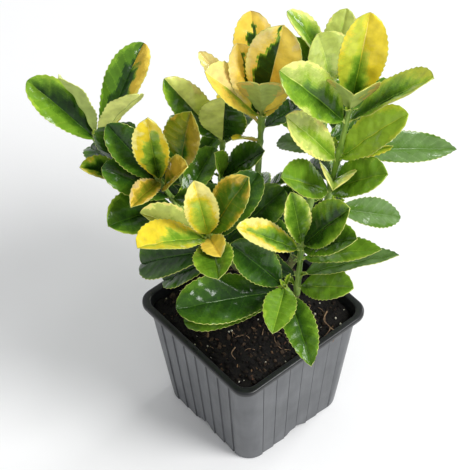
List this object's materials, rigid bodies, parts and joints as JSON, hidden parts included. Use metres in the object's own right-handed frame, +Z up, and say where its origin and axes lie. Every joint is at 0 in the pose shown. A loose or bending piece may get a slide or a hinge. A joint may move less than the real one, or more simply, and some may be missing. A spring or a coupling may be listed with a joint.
{
  "type": "potted euonymus shrub",
  "caption": "Young variegated evergreen shrub with paired oval leaves, rooted in soil in a square tapering nursery pot with a rolled rim and grooved sides.",
  "frame": {"origin": "centre of the pot's flat underside, on the surface it stands on", "axes": "+Z up, X and Y square to the pot's sides; the corner towards -Y and +X is the one that faces the viewer"},
  "size_m": [0.1692, 0.172, 0.2789],
  "materials": {
    "pot": "satin, moulded",
    "soil": "rough, loose",
    "stems": "young green bark",
    "foliage": "glossy leaf"
  },
  "bodies": {
    "root": {"pot": "pot", "soil": "soil", "main_stem": "stems", "bough_middle": "stems", "bough_far_left": "stems", "bough_right": "stems", "bough_front_right": "stems", "bough_centre_back": "stems", "bough_low_left": "stems", "bough_left": "stems", "bough_left_back": "stems", "bough_front_left": "stems", "bough_back_left": "stems", "bough_right_back": "stems", "bough_low_back": "stems", "bough_low_front": "stems", "foliage_front_left": "foliage", "foliage_front_right": "foliage", "foliage_low_front": "foliage", "foliage_left": "foliage", "foliage_middle": "foliage", "foliage_right": "foliage", "foliage_far_left": "foliage", "foliage_left_back": "foliage", "foliage_back_left": "foliage", "foliage_right_back": "foliage", "foliage_low_back": "foliage", "foliage_centre_back": "foliage", "foliage_low_left": "foliage"}
  },
  "joints": []
}
